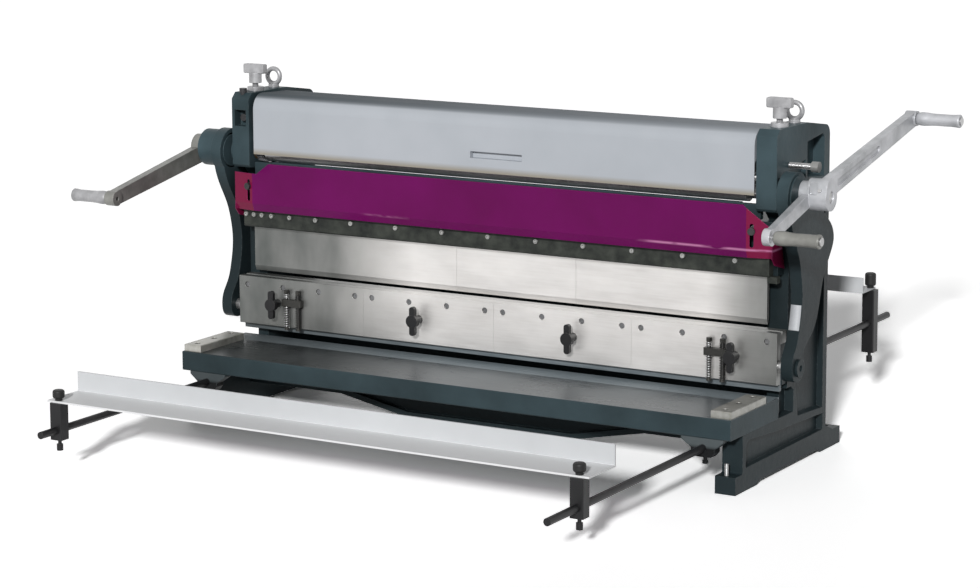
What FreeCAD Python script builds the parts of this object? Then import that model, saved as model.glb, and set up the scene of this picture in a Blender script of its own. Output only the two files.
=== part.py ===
import FreeCAD, Part
import math
import os

# Bench machine with slip rolls, press brake and guillotine shear.
# X runs along the rolls (right is +X), Y from front to back, Z up from the floor.
# The origin lies on the floor at the centre of the four foot holes.

os.makedirs("parts", exist_ok=True)

# side frames
frameOuter = 695.0
frameThick = 47.0
frameInner = frameOuter - frameThick
footHalf = 268.0
footHoleY = 254.0
footHoleIn = 27.0
footHoleX = frameOuter - footHoleIn
footHoleR = 5.5
footLug = 38.0
armFront = -234.0
armTop = 121.0
columnFront = -17.0
columnRear = 190.0
headFront = -83.0
headBottom = 566.0
headTop = 740.0
headBack = 722.0
pocketDepth = 13.0
archLift = 8.0
runClear = 0.08

# shear table
tableFront = -294.0
tableRear = -59.0
tableTop = 165.0
tableHalf = frameOuter
tableSkin = 22.0
shearPlane = -49.0
bladeStrip = 56.0
stripThick = 12.0
bladeShort = 4.0
gaugeWide = 46.0
gaugeTall = 16.0
gaugeRear = -118.0
gaugeFront = tableFront + 6.0
beamLow = 25.0
beamHigh = 60.0

# ram: dies, blade and front plates
ramShort = 2.0
ramHalf = frameOuter - ramShort
ramBottom = 193.0
ramTop = 306.0
plateFront = -67.0
plateThick = 18.0
ramRear = columnFront - 0.35
dieLow = 280.0
grooveY = -43.0
grooveWide = 11.0
grooveDeep = 8.0
plateCount = 4
plateGap = 0.4
bladeLow = 177.0
lowerBladeLow = 131.0
bladeRake = 2.5
bladeTop = 232.0
wingX = (-584.0, -196.0, 203.0, 597.0)
wingZ = 249.0
bracketX = (-538.0, 554.0)

# punch
punchOver = 12.0
punchHalf = frameInner + punchOver
punchFront = -48.0
punchThick = 11.0
punchTip = 318.5
punchTop = 470.0
punchJoints = (-punchHalf, -107.0, 199.0, punchHalf)
clampLow = 425.0
clampHigh = 474.0
clampFront = -70.0
clampOver = 26.0
clampHalf = frameInner + clampOver
clampScrewX = (-clampHalf + 8, -clampHalf + 30, -clampHalf + 52, -595, -544, -472, -375, -254, -131, -11,
               111, 230, 350, 472, 596)
upperBeamTop = 536.0
apronTop = 579.0
apronShort = 48.0
padTop = 540.0

# rolls
rollR = 22.0
journalR = 15.0
shaftY = -45.0
shaftZ = 602.0
rollPitch = 50.0
upperRise = 50.0
rollShort = 32.0
rollHalf = frameInner - rollShort
gearTeeth = 22
gearModule = 2.0
gearWide = 16.0
gearGap = 9.0
gearOuter = frameInner - gearGap
gearBack = 0.12
carriageUp = 8.0
carriageDown = 8.0
blockWide = 42.0
blockTall = 38.0
blockDeep = 30.0
stemSeat = 5.0
handScrewX = (frameInner + frameOuter) / 2
handScrewR = 7.0

# drive
eccentric = 22.0
swingDeg = 45.0
stroke = 15.6
eccR = 37.0
stubR = 13.0
linkGap = 13.0
linkThick = 27.0
linkIn = frameOuter + linkGap
linkOut = linkIn + linkThick
eyeOuter = 51.0
eyeInner = 41.4
pinY = -50.0
pinZ = 233.0
pinR = 13.0
longRight = 474.0
longLeft = 350.0
shortArm = 212.8
armTilt = 11.5
armThick = 20.0
collarGap = 4.0
collarLong = 19.0
hubLong = 45.0
leftHubGap = 17.0
leftHubLong = 70.0
armRise = 20.0
leftRise = 14.0
leftTilt = 10.7
shortTilt = 15.5
hubR = 29.0
lobeR = 20.0
gripR = 14.0
gripLong = 100.0
spindleR = 5.0

# cover and guard
coverShort = 8.0
coverHalf = frameInner - coverShort
coverFront = -76.0
coverLow = 598.0
coverTop = 740.0
coverBack = 733.0
coverRound = 36.0
coverRear = 62.0
sheet = 1.6
guardFront = -96.0
guardLow = 467.0
guardTop = 580.0
bendIn = 16.0
bendX = frameInner - bendIn
wingLong = 57.0
wingBend = 11.0
guardFold = 18.0

# stops
rodIn = 18.0
rodX = frameInner - rodIn
rearRodIn = 26.0
rearRodX = frameInner - rearRodIn
stopHalf = rodX + 25.0
rearStopHalf = rearRodX + 6.0
rodR = 8.0
clampLong = 26.0
frontRodZ = 99.0
frontPostY = -820.0
frontReach = 100.0
frontStopY = frontPostY + frontReach
postLip = 8.0
frontShelf = 162.0
rearRodZ = 205.0
rearPostY = 604.0
rearReach = 59.0
rearStopY = rearPostY - rearReach
rearTop = 320.0
rearUpright = 33.0
postHalf = 15.0
postDeep = 14.0


def vec(x, y, z):
    return FreeCAD.Vector(x, y, z)


# box between two corners, given as ranges
def box(x0, x1, y0, y1, z0, z1):
    return Part.makeBox(x1 - x0, y1 - y0, z1 - z0, vec(x0, y0, z0))


def cylX(x0, x1, y, z, r):
    return Part.makeCylinder(r, x1 - x0, vec(x0, y, z), vec(1, 0, 0))


def cylY(y0, y1, x, z, r):
    return Part.makeCylinder(r, y1 - y0, vec(x, y0, z), vec(0, 1, 0))


def cylZ(z0, z1, x, y, r):
    return Part.makeCylinder(r, z1 - z0, vec(x, y, z0), vec(0, 0, 1))


def face(points):
    closed = list(points) + [points[0]]
    return Part.Face(Part.makePolygon(closed))


# profile in Y and Z pushed along X
def prismX(points, x0, x1):
    return face([vec(x0, y, z) for y, z in points]).extrude(vec(x1 - x0, 0, 0))


# profile in X and Z pushed along Y
def prismY(points, y0, y1):
    return face([vec(x, y0, z) for x, z in points]).extrude(vec(0, y1 - y0, 0))


# profile in X and Y pushed along Z
def prismZ(points, z0, z1):
    return face([vec(x, y, z0) for x, y in points]).extrude(vec(0, 0, z1 - z0))


def joined(shapes):
    whole = shapes[0]
    for other in shapes[1:]:
        whole = whole.fuse(other)
    return whole.removeSplitter()


def cut(shape, tools):
    for tool in tools:
        shape = shape.cut(tool)
    return shape


def group(shapes):
    return Part.makeCompound(shapes)


def flip(shape):
    return shape.mirror(vec(0, 0, 0), vec(1, 0, 0))


def turnedX(shape, y, z, degrees):
    copy = shape.copy()
    copy.rotate(vec(0, y, z), vec(1, 0, 0), degrees)
    return copy


# closed smooth outline through points in Y and Z, pushed along X
def smoothX(points, x0, x1):
    curve = Part.BSplineCurve()
    curve.interpolate([vec(x0, y, z) for y, z in points], PeriodicFlag=True)
    return Part.Face(Part.Wire(curve.toShape())).extrude(vec(x1 - x0, 0, 0))


def rounded(shape, radius, test):
    edges = [edge for edge in shape.Edges if test(edge)]
    return shape.makeFillet(radius, edges) if edges else shape


def chamfered(shape, size, test):
    edges = [edge for edge in shape.Edges if test(edge)]
    return shape.makeChamfer(size, edges) if edges else shape


def alongX(edge):
    box3 = edge.BoundBox
    return box3.YLength < 1e-6 and box3.ZLength < 1e-6


def alongY(edge):
    box3 = edge.BoundBox
    return box3.XLength < 1e-6 and box3.ZLength < 1e-6


def alongZ(edge):
    box3 = edge.BoundBox
    return box3.XLength < 1e-6 and box3.YLength < 1e-6


# socket head screw along +Y, head facing the front
def capScrewY(x, z, yHead, headR, headTall, yEnd, bodyR):
    head = cylY(yHead, yHead + headTall, x, z, headR)
    socket = hexY(x, z, yHead, yHead + headTall * 0.55, headR * 0.5)
    return joined([head.cut(socket), cylY(yHead + headTall, yEnd, x, z, bodyR)])


def hexY(x, z, y0, y1, r):
    points = [(x + r * math.cos(math.radians(60 * k)), z + r * math.sin(math.radians(60 * k)))
              for k in range(6)]
    return prismY(points, y0, y1)


def hexX(y, z, x0, x1, r):
    points = [(y + r * math.cos(math.radians(60 * k)), z + r * math.sin(math.radians(60 * k)))
              for k in range(6)]
    return prismX(points, x0, x1)


def hexZ(x, y, z0, z1, r):
    points = [(x + r * math.cos(math.radians(60 * k)), y + r * math.sin(math.radians(60 * k)))
              for k in range(6)]
    return prismZ(points, z0, z1)


parts = {}
rearRollY = shaftY + rollPitch
upperY = shaftY + rollPitch / 2
upperZ = shaftZ + upperRise
idlerDrop = math.sqrt((gearTeeth * gearModule) ** 2 - (rollPitch / 2) ** 2)
idlerZ = shaftZ - idlerDrop

# side frames
# right casting; the left one is its mirror with a release recess added
outline = [
    (-footHalf, 0), (-162, 0), (-150, archLift), (150, archLift), (162, 0), (footHalf, 0),
    (footHalf, footLug), (columnRear + 40, footLug), (columnRear, footLug + 16),
    (columnRear, headBack), (72, headTop), (headFront + 14, headTop), (headFront, headTop - 14),
    (headFront, headBottom + 6), (headFront + 6, headBottom),
    (-40, headBottom - 4), (columnFront, headBottom - 26), (columnFront, armTop + 8),
    (tableRear + 4, armTop + 8), (tableRear, armTop), (armFront, armTop), (armFront, footLug),
    (-footHalf, footLug)]
frame = prismX(outline, frameInner, frameOuter)
frame = rounded(frame, 24.0, lambda e: alongX(e) and e.BoundBox.YMin > columnRear - 1 and e.BoundBox.ZMin > 700)
frame = rounded(frame, 5.0, lambda e: (
    alongX(e) and abs(e.BoundBox.YMin - armFront) < 1 and e.BoundBox.ZMin < 60))


# recess in the outer face, with sloping sides so it reads as a casting
def recess(points, depth):
    low = Part.makePolygon([vec(frameOuter - depth, y, z) for y, z in points]
                           + [vec(frameOuter - depth, *points[0])])
    cy = sum(p[0] for p in points) / len(points)
    cz = sum(p[1] for p in points) / len(points)
    wide = []
    for y, z in points:
        far = math.hypot(y - cy, z - cz)
        grow = 1 + 5.0 / far
        wide.append((cy + (y - cy) * grow, cz + (z - cz) * grow))
    top = Part.makePolygon([vec(frameOuter + 0.5, y, z) for y, z in wide] + [vec(frameOuter + 0.5, *wide[0])])
    return Part.makeLoft([low, top], True, True)


frame = cut(frame, [
    recess([(-214, 50), (168, 50), (168, 86), (-66, 92), (-200, 106), (-214, 98)], pocketDepth),
    recess([(-74, 124), (12, 124), (12, 168), (-2, 176), (-74, 176)], pocketDepth + 6),
    recess([(40, 112), (168, 104), (168, 560), (30, 560), (14, 520), (14, 240)], pocketDepth),
    recess([(76, 626), (158, 618), (158, 696), (150, 704), (76, 696)], pocketDepth + 12),
    recess([(-72, 624), (14, 612), (60, 612), (60, 660), (-72, 638)], pocketDepth - 4)])
# slanting rib left standing in the big recess
rib = prismX([(168, 430), (168, 404), (30, 226), (14, 226), (14, 246)],
             frameOuter - pocketDepth - 1, frameOuter - 3)
frame = frame.fuse(rib).removeSplitter()
# boss round the drive shaft
frame = frame.fuse(cylX(frameOuter - 20, frameOuter + 8, shaftY, shaftZ, 33.0)).removeSplitter()
bushR = journalR + 4.5
frame = cut(frame, [
    cylX(frameInner - 1, frameOuter + 10, shaftY, shaftZ, bushR),
    cylX(frameInner - 1, frameInner + 30, rearRollY, shaftZ, bushR),
    box(frameInner - 1, frameInner + blockDeep, upperY - blockWide / 2 - 0.3, upperY + blockWide / 2 + 0.3,
        upperZ - blockTall / 2 - carriageDown - 2, upperZ + blockTall / 2 + carriageUp + 2),
    cylX(frameInner - 1, frameInner + 24, upperY, idlerZ, 6.0),
    cylZ(upperZ, headTop + 5, handScrewX, upperY, handScrewR + 0.12),
    cylZ(headTop - 30, headTop + 5, handScrewX, 55.0, 6.0),
    cylZ(-1, footLug + 1, footHoleX, -footHoleY, footHoleR),
    cylZ(-1, footLug + 1, footHoleX, footHoleY, footHoleR)])
rightFrame = frame
leftFrame = flip(frame)
# recess for the release bolt, and blind holes for it, the cap screw over it and the lock screw
boltX = 23.0 - frameOuter
boltZ = 681.0
topScrewY = -69.0
lockY = -20.0
lockZ = 660.0
lockReach = 57.0
leftFrame = cut(leftFrame, [box(boltX - 16, boltX + 16, headFront - 1, headFront + 26, boltZ - 19, boltZ + 19),
                            cylY(headFront + 25, headFront + 40, boltX, boltZ, 5.0),
                            cylZ(headTop - 27, headTop + 3, boltX, topScrewY, 6.0)])
rightFrame = rightFrame.cut(cylX(frameOuter - 16, frameOuter + 2, lockY, lockZ, 6.12))
parts["side_frame_left"] = leftFrame
parts["side_frame_right"] = rightFrame

bush = cylX(frameInner, frameOuter + 8, shaftY, shaftZ, bushR).cut(
    cylX(frameInner - 1, frameOuter + 9, shaftY, shaftZ, journalR + runClear))
rearBush = cylX(frameInner, frameInner + 30, rearRollY, shaftZ, bushR).cut(
    cylX(frameInner - 1, frameInner + 31, rearRollY, shaftZ, journalR + runClear))
parts["roll_bushes"] = group([bush, flip(bush), rearBush, flip(rearBush)])

# table
skin = box(-tableHalf, tableHalf, tableFront, tableRear, armTop, tableTop)
hollow = box(-frameInner + 30, frameInner - 30, tableFront + 20, tableRear - 26,
             armTop - 1, tableTop - tableSkin)
ribs = [box(x - 6, x + 6, tableFront + 19, tableRear - 25, armTop, tableTop - tableSkin + 1)
        for x in (-400, -130, 130, 400)]
table = skin.cut(hollow)
table = joined([table] + ribs)
table = chamfered(table, 2.0, lambda e: alongX(e) and abs(e.BoundBox.YMin - tableFront) < 0.1)
# rebate for the blade's top strip
stripFront = shearPlane - 0.3 - bladeStrip - (shearPlane - 0.3 - tableRear)
table = table.cut(box(-tableHalf + bladeShort, tableHalf - bladeShort, stripFront, tableRear + 1,
                      tableTop - stripThick, tableTop + 1))
# tapped holes on top for the gauge bars and in the rear for the blade
bladeHoles = [x for x in range(-600, 601, 150)]
for x in bladeHoles:
    table = table.cut(cylY(tableRear - 18, tableRear + 1, x, 146, 4.0))
gaugeX = frameInner + 22.0
gaugeScrewY = (gaugeFront + 20, (gaugeFront + gaugeRear) / 2, gaugeRear - 18)
for sx in (-1, 1):
    for y in gaugeScrewY:
        table = table.cut(cylZ(tableTop - 14, tableTop + 1, sx * gaugeX, y, 4.0))
clampY0 = tableFront + 4
clampBolts = []
flangeThick = 7.0
for sx in (-1, 1):
    for dx in (-38, 36):
        y = clampY0 + clampLong / 2
        bolt = joined([cylZ(armTop - flangeThick - 1, armTop + 14, sx * (rodX + dx), y, 3.5),
                       cylZ(armTop - flangeThick - 5, armTop - flangeThick, sx * (rodX + dx), y, 6.0)])
        clampBolts.append(bolt)
        table = table.cut(bolt)
parts["shear_table"] = table

bladeX = tableHalf - bladeShort
lowerBlade = joined([box(-bladeX, bladeX, tableRear, shearPlane - 0.3, lowerBladeLow, tableTop),
                     box(-bladeX, bladeX, stripFront, tableRear + 1, tableTop - stripThick, tableTop)])
lowerBlade = chamfered(lowerBlade, 0.8, lambda e: alongX(e) and abs(e.BoundBox.YMin - stripFront) < 0.1
                       and e.BoundBox.ZMin > tableTop - 1)
for x in bladeHoles:
    lowerBlade = cut(lowerBlade, [cylY(tableRear - 1, shearPlane, x, 146, 4.3),
                                  cylY(shearPlane - 5.3, shearPlane + 1, x, 146, 7.2)])
parts["lower_blade"] = lowerBlade
blades = []
for x in bladeHoles:
    head = cylY(shearPlane - 5.3, shearPlane - 0.8, x, 146, 6.5)
    blades.append(joined([head, cylY(tableRear - 16, shearPlane - 5.2, x, 146, 4.0)]))
frameScrews = list(blades)

# cross beam under the rear of the table, deeper in the middle
belly = [(-frameInner, armTop), (-frameInner, beamHigh), (-393, beamHigh), (-216, beamLow), (216, beamLow),
         (393, beamHigh), (frameInner, beamHigh), (frameInner, armTop)]
beam = prismY(belly, -82, -64)
flange = prismY([(-frameInner, beamHigh), (-393, beamHigh), (-216, beamLow), (216, beamLow), (393, beamHigh),
                 (frameInner, beamHigh), (frameInner, beamHigh + 12), (390, beamHigh + 12), (212, beamLow + 12),
                 (-212, beamLow + 12), (-390, beamHigh + 12), (-frameInner, beamHigh + 12)], -94, -52)
parts["lower_cross_beam"] = joined([beam, flange])

gaugeBars = []
gaugeScrews = []
for sx in (-1, 1):
    bar = box(gaugeX - gaugeWide / 2, gaugeX + gaugeWide / 2, gaugeFront, gaugeRear,
              tableTop, tableTop + gaugeTall)
    bar = chamfered(bar, 1.5, lambda e: e.BoundBox.ZMin > tableTop + gaugeTall - 0.1)
    for y in gaugeScrewY:
        bar = cut(bar, [cylZ(tableTop - 1, tableTop + gaugeTall + 1, gaugeX, y, 4.3),
                        cylZ(tableTop + gaugeTall - 7, tableTop + gaugeTall + 1, gaugeX, y, 7.2)])
        screw = joined([cylZ(tableTop + gaugeTall - 7, tableTop + gaugeTall - 1.5, gaugeX, y, 6.6),
                        cylZ(tableTop - 12, tableTop + gaugeTall - 6, gaugeX, y, 4.0)])
        screw = screw.cut(hexZ(gaugeX, y, tableTop + gaugeTall - 4.5, tableTop + gaugeTall, 3.4))
        gaugeScrews.append(screw if sx > 0 else flip(screw))
    gaugeBars.append(bar if sx > 0 else flip(bar))
parts["side_gauges"] = group(gaugeBars)
frameScrews += gaugeScrews

# upper beam and punches
beamFront = punchFront + punchThick
upperBeam = joined([
    box(-frameInner, frameInner, beamFront, beamFront + 20, 372, upperBeamTop),
    box(-frameInner, frameInner, beamFront, columnRear - 96, 430, 448),
    box(-frameInner, frameInner, beamFront - 11, beamFront + 1, clampHigh, upperBeamTop),
    box(-frameInner, frameInner, beamFront, columnRear - 96, upperBeamTop - 16, upperBeamTop),
    box(-frameInner + apronShort, frameInner - apronShort, beamFront - 23, beamFront - 9,
        upperBeamTop - 16, apronTop),
    box(-frameInner, frameInner, beamFront - 23, beamFront - 9, upperBeamTop + 9, apronTop - 2)])
endPad = box(frameInner - 1, frameOuter - 11, beamFront - 11, columnFront, clampLow, padTop)
upperBeam = joined([upperBeam, endPad, flip(endPad)])
for x in clampScrewX:
    upperBeam = upperBeam.cut(cylY(beamFront - 2, beamFront + 15, x, 455, 4.0) if abs(x) < frameInner else
                              cylY(beamFront - 12, beamFront + 15, x, 455, 4.0))
upperBeam = upperBeam.cut(box(-punchHalf, punchHalf, punchFront - 1, beamFront, clampLow - 60, clampHigh))
slotX = bendX + 12.0
slotLow = 490.0
slotHigh = 541.0
guardScrewZ = 525.0


# things on the guard's wings are drawn square to the front and then turned with the bend
def bent(shape):
    copy = shape.copy()
    copy.rotate(vec(bendX, guardFront, 0), vec(0, 0, 1), wingBend)
    return copy


guardHole = bent(cylY(guardFront, guardFront + 78, slotX, guardScrewZ, 4.0))
upperBeam = cut(upperBeam, [guardHole, flip(guardHole)])
parts["upper_beam"] = upperBeam

punches = []
tipY = grooveY
for k in range(3):
    x0 = punchJoints[k] + (0.25 if k else 0)
    x1 = punchJoints[k + 1] - (0.25 if k < 2 else 0)
    profile = [(punchFront, punchTop), (punchFront, punchTip + 12), (tipY - 1.0, punchTip),
               (tipY + 1.0, punchTip),
               (beamFront, punchTip + 14), (beamFront, punchTop)]
    segment = prismX(profile, x0, x1)
    for x in clampScrewX:
        if x0 < x < x1:
            segment = segment.cut(cylY(punchFront - 1, beamFront + 1, x, 455, 5.0))
    punches.append(segment)
parts["punches"] = group(punches)

clamp = box(-clampHalf, clampHalf, clampFront, punchFront, clampLow, clampHigh)
clamp = chamfered(clamp, 3.0, lambda e: (
    alongX(e) and e.BoundBox.YMin < clampFront + 0.1 and e.BoundBox.ZMin < clampLow + 1))
clampScrews = []
for x in clampScrewX:
    clamp = cut(clamp, [cylY(clampFront - 1, punchFront + 1, x, 455, 4.4)])
    r = 5.2
    clampScrews.append(capScrewY(x, 455, clampFront - 5.0, r, 5.0, beamFront + 12, 3.9))
endBlock = box(clampHalf - 6, clampHalf + 17, clampFront + 4, punchFront - 2, clampLow - 13, clampLow + 1)
parts["punch_clamp_bar"] = joined([clamp, endBlock])
frameScrews += clampScrews

# ram
backY = plateFront + plateThick
ramBody = box(-ramHalf, ramHalf, backY + 10, ramRear, 190, dieLow)
ramBody = joined([ramBody, box(-ramHalf, ramHalf, backY, ramRear, bladeTop + 2, dieLow)])
# flange along the rear that stiffens the ram between the side frames
stiff = box(-600, 600, ramRear - 1, ramRear + 46, 232, 246)
ramBody = joined([ramBody, stiff])
plateW = (2 * ramHalf) / plateCount
platePositions = []
for k in range(plateCount):
    x0 = -ramHalf + k * plateW + (plateGap / 2 if k else 0)
    x1 = -ramHalf + (k + 1) * plateW - (plateGap / 2 if k < plateCount - 1 else 0)
    platePositions.append((x0, x1))
plateScrewX = [-ramHalf + k * plateW + 23.25 + 100 * j for k in range(plateCount) for j in range(4)]
plateScrewZ = 268.0
topHoleZ = 286.0
for x in plateScrewX:
    ramBody = ramBody.cut(cylY(backY - 1, backY + 24, x, plateScrewZ, 4.0))
for x in wingX:
    ramBody = ramBody.cut(cylY(backY - 1, backY + 20, x, wingZ, 5.12))

die = box(-ramHalf, ramHalf, backY, ramRear, dieLow, ramTop)
groove = prismX([(grooveY - grooveWide / 2, ramTop + 0.01), (grooveY, ramTop - grooveDeep),
                 (grooveY + grooveWide / 2, ramTop + 0.01)], -ramHalf - 1, ramHalf + 1)
dieBar = die.cut(groove)

ramHole = cylX(ramHalf - 36, ramHalf + 1, pinY, pinZ, pinR)
plates = []
for x0, x1 in platePositions:
    plate = box(x0, x1, plateFront, backY, ramBottom, ramTop)
    plate = chamfered(plate, 1.2, lambda e: alongX(e) and e.BoundBox.YMin < plateFront + 0.1)
    for x in plateScrewX:
        if x0 < x < x1:
            plate = cut(plate, [cylY(plateFront - 1, backY + 1, x, topHoleZ, 4.3),
                                cylY(plateFront - 1, plateFront + 6, x, topHoleZ, 6.8)])
    for x in wingX:
        if x0 < x < x1:
            plate = plate.cut(cylY(plateFront - 1, backY + 1, x, wingZ, 5.5))
    plates.append(cut(plate, [ramHole, flip(ramHole)]))
parts["ram_plates"] = group(plates)

plateScrews = []
for x in plateScrewX:
    plateScrews.append(joined([cylY(plateFront + 2.5, plateFront + 6, x, topHoleZ, 6.2),
                               cylY(plateFront + 5, backY + 14, x, topHoleZ, 3.9)]))
# the screws run on into the die bar
parts["brake_die"] = cut(dieBar, [cylY(backY - 1, backY + 15, x, topHoleZ, 3.98) for x in plateScrewX])

blade = prismY([(-ramHalf + 2, bladeLow + bladeRake), (ramHalf - 2, bladeLow), (ramHalf - 2, bladeTop),
                (-ramHalf + 2, bladeTop)], shearPlane, backY + 10)
bladeBolts = []
for x in range(-600, 601, 150):
    blade = blade.cut(cylY(shearPlane - 1, backY + 11, x, 208, 4.3))
    blade = blade.cut(cylY(shearPlane - 1, shearPlane + 4.6, x, 208, 7.2))
    ramBody = ramBody.cut(cylY(backY + 9, backY + 26, x, 208, 4.0))
    bladeBolts.append(joined([cylY(shearPlane + 0.4, shearPlane + 4.6, x, 208, 6.6),
                              cylY(shearPlane + 4.5, backY + 24, x, 208, 3.9)]))
parts["ram_screws"] = group(plateScrews + bladeBolts)

# pins that carry the links, let into the ram ends
ramPins = []
pinIn = ramHalf - 34
for sx in (-1, 1):
    pin = joined([cylX(pinIn, linkOut + 3, pinY, pinZ, pinR),
                  cylX(linkOut + 0.5, linkOut + 6, pinY, pinZ, 19.0)])
    pin = pin.cut(cylX(linkOut + 2, linkOut + 7, pinY, pinZ, 7.0))
    ramPins.append(pin if sx > 0 else flip(pin))
parts["upper_blade"] = cut(blade, [ramHole, flip(ramHole)])
parts["ram_beam"] = cut(ramBody, [ramHole, flip(ramHole)])
parts["ram_pins"] = group(ramPins)

# wing screws on the ram front: stem, boss and an upright wing
wingNames = ("wing_screw_1", "wing_screw_2", "wing_screw_3", "wing_screw_4")
for name, x in zip(wingNames, wingX):
    stem = cylY(plateFront - 22, backY + 18, x, wingZ, 5.0)
    boss = cylY(plateFront - 20, plateFront - 0.3, x, wingZ, 9.5)
    wingShape = cylY(plateFront - 34, plateFront - 20, x, wingZ, 14.5)
    upright = box(x - 7, x + 7, plateFront - 32, plateFront - 22, wingZ - 33, wingZ + 33)
    upright = rounded(upright, 6.2, alongY)
    parts[name] = joined([stem, boss, wingShape, upright])

# guide brackets on the ram front with two spring pins each
holdDowns = []
for x in bracketX:
    block = box(x - 27, x + 27, plateFront - 15, plateFront, 246, 262)
    holdDowns.append(cut(rounded(block, 3.0, alongZ), [
        cylZ(200, 300, x - 16, plateFront - 8, 4.1), cylZ(200, 300, x + 16, plateFront - 8, 4.1)]))
    for dx in (-16, 16):
        holdDowns.append(joined([cylZ(190, 284, x + dx, plateFront - 8, 4.1),
                                 hexZ(x + dx, plateFront - 8, 276, 284, 6.6),
                                 cylZ(190, 194, x + dx, plateFront - 8, 6.0)]))
parts["hold_downs"] = group(holdDowns)

# drive shaft, eccentrics and links
hubStart = linkOut + collarGap + collarLong
armR1 = hubStart + hubLong
armR0 = armR1 - armThick
leftOuter = linkOut + leftHubGap + leftHubLong
rollBody = joined([cylX(-rollHalf, rollHalf, shaftY, shaftZ, rollR),
                   cylX(-linkIn + 1.5, linkIn - 1.5, shaftY, shaftZ, journalR),
                   cylX(-leftOuter + 32, armR1 - 3, shaftY, shaftZ, stubR)])
eccY = shaftY - eccentric
disc = cylX(linkIn - 1.5, linkOut + 1.5, eccY, shaftZ, eccR)
flangeDisc = cylX(linkOut + 0.6, linkOut + 3.6, eccY + 5, shaftZ, eccR + 8.0)
disc = joined([disc, flangeDisc]).cut(cylX(linkIn - 3, linkOut + 5, shaftY, shaftZ, stubR))
parts["front_roll"] = rollBody
parts["eccentrics"] = group([disc, flip(disc)])

eyeY = shaftY - eccentric * (1 + math.cos(math.radians(swingDeg))) / 2
body = smoothX([(eyeY - 36, shaftZ - 36), (-78, 515), (-54, 473), (-38, 424), (-33, 385), (-42, 325),
                (-56, 288),
                (-74, 262), (pinY - 30, pinZ), (pinY - 24, pinZ - 20), (pinY, pinZ - 30),
                (pinY + 22, pinZ - 20),
                (-26, 256), (23, 300), (72, 402), (112, 457), (127, 486), (118, 512), (94, 534), (50, 566),
                (eyeY + 40, shaftZ - 12)],
               linkIn, linkOut)
link = joined([body, cylX(linkIn, linkOut, eyeY, shaftZ, eyeOuter), cylX(linkIn, linkOut, pinY, pinZ, 30.0)])
link = cut(link, [cylX(linkIn - 1, linkOut + 1, eyeY, shaftZ, eyeInner),
                  cylX(linkIn - 1, linkOut + 1, pinY, pinZ, pinR + runClear)])
parts["link_right"] = link
parts["link_left"] = flip(link)


# cranks
# offset hub with a tapering arm; drawn pointing back (+Y) and then turned.
# The arm's outer face, on the side given by facing, has a shallow channel.
def crank(xHub0, xHub1, xArm0, xArm1, length, rise, facing):
    hub = joined([cylX(xHub0, xHub1, shaftY, shaftZ, hubR), cylX(xHub0, xHub1, shaftY, shaftZ + rise, lobeR)])
    root = shaftZ + rise
    arm = prismX([(shaftY, root - lobeR), (shaftY, root + lobeR), (shaftY + length * 0.55, root + lobeR - 2),
                  (shaftY + length, root + 16), (shaftY + length, root - 16),
                  (shaftY + length * 0.55, root - lobeR + 2)], xArm0, xArm1)
    tip = cylX(xArm0 - 3, xArm1 + 3, shaftY + length, root, 17.0)
    outerX = xArm1 if facing > 0 else xArm0
    channel = box(min(outerX, outerX - facing * 4), max(outerX, outerX - facing * 4),
                  shaftY + hubR + 6, shaftY + length * 0.56, root - 7.5, root + 7.5)
    return joined([hub, arm, tip]).cut(rounded(channel, 7.0, alongX))


longR = crank(hubStart, armR1, armR0, armR1, longRight, armRise, 1)
collar = cylX(linkOut + collarGap, hubStart + 2, shaftY, shaftZ + 8, hubR - 5)
longR = joined([longR, collar])
longR = cut(longR, [cylX(linkOut, armR1 + 34, shaftY, shaftZ, stubR),
                    cylX(armR0 - 5, armR1 + 5, shaftY + longRight, shaftZ + armRise, spindleR)])
longR = turnedX(longR, shaftY, shaftZ, armTilt)
# pocket between the two lobes of the hub, open to the front
longR = longR.cut(rounded(box(hubStart + 5, armR0 - 2, shaftY - hubR - 6, shaftY - hubR + 9,
                              shaftZ + 7, shaftZ + 31),
                          3.0, alongY))
# short arm from the same hub, pointing to the front and a little down
shortX0 = hubStart - 11
shortX1 = shortX0 + 16
armShort = joined([prismX([(shaftY, shaftZ - 15), (shaftY - shortArm, shaftZ - 12),
                           (shaftY - shortArm, shaftZ + 12),
                           (shaftY, shaftZ + 15)], shortX0, shortX1),
                   cylX(shortX0, shortX1 + 1, shaftY - shortArm, shaftZ, 18.0)])
armShort = cut(armShort, [cylX(shortX0 - 1, shortX1 + 9, shaftY, shaftZ, stubR),
                          cylX(shortX0 - 1, shortX1 + 9, shaftY - shortArm, shaftZ, spindleR)])
armShort = turnedX(armShort, shaftY, shaftZ, shortTilt)
crankRight = joined([longR, armShort])
parts["crank_right"] = crankRight

leftHub = linkOut + leftHubGap
longL = crank(-leftOuter, -leftHub, -leftOuter, -leftOuter + armThick, longLeft, leftRise, -1)
longL = cut(longL, [cylX(-leftOuter - 28, -linkOut, shaftY, shaftZ, stubR),
                    cylX(-leftOuter - 6, -leftOuter + armThick + 18,
                         shaftY + longLeft, shaftZ + leftRise, spindleR)])
longL = turnedX(longL, shaftY, shaftZ, 180 + leftTilt)
parts["crank_left"] = longL
ringEnd = leftOuter - 30
ring = cylX(-ringEnd, -linkOut - collarGap, shaftY, shaftZ, 43.0).cut(
    cylX(-ringEnd - 8, -linkOut, shaftY, shaftZ, 30.0))
ring = joined([ring, cylX(-leftHub, -linkOut - collarGap, shaftY, shaftZ, 31.0)])
ring = ring.cut(cylX(-ringEnd - 8, -linkOut, shaftY, shaftZ, stubR))
ring = ring.cut(longL)
parts["left_hub_housing"] = ring


def placed(degrees, y, z):
    a = math.radians(degrees)
    dy = y * math.cos(a) - z * math.sin(a)
    dz = y * math.sin(a) + z * math.cos(a)
    return (shaftY + dy, shaftZ + dz)


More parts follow.
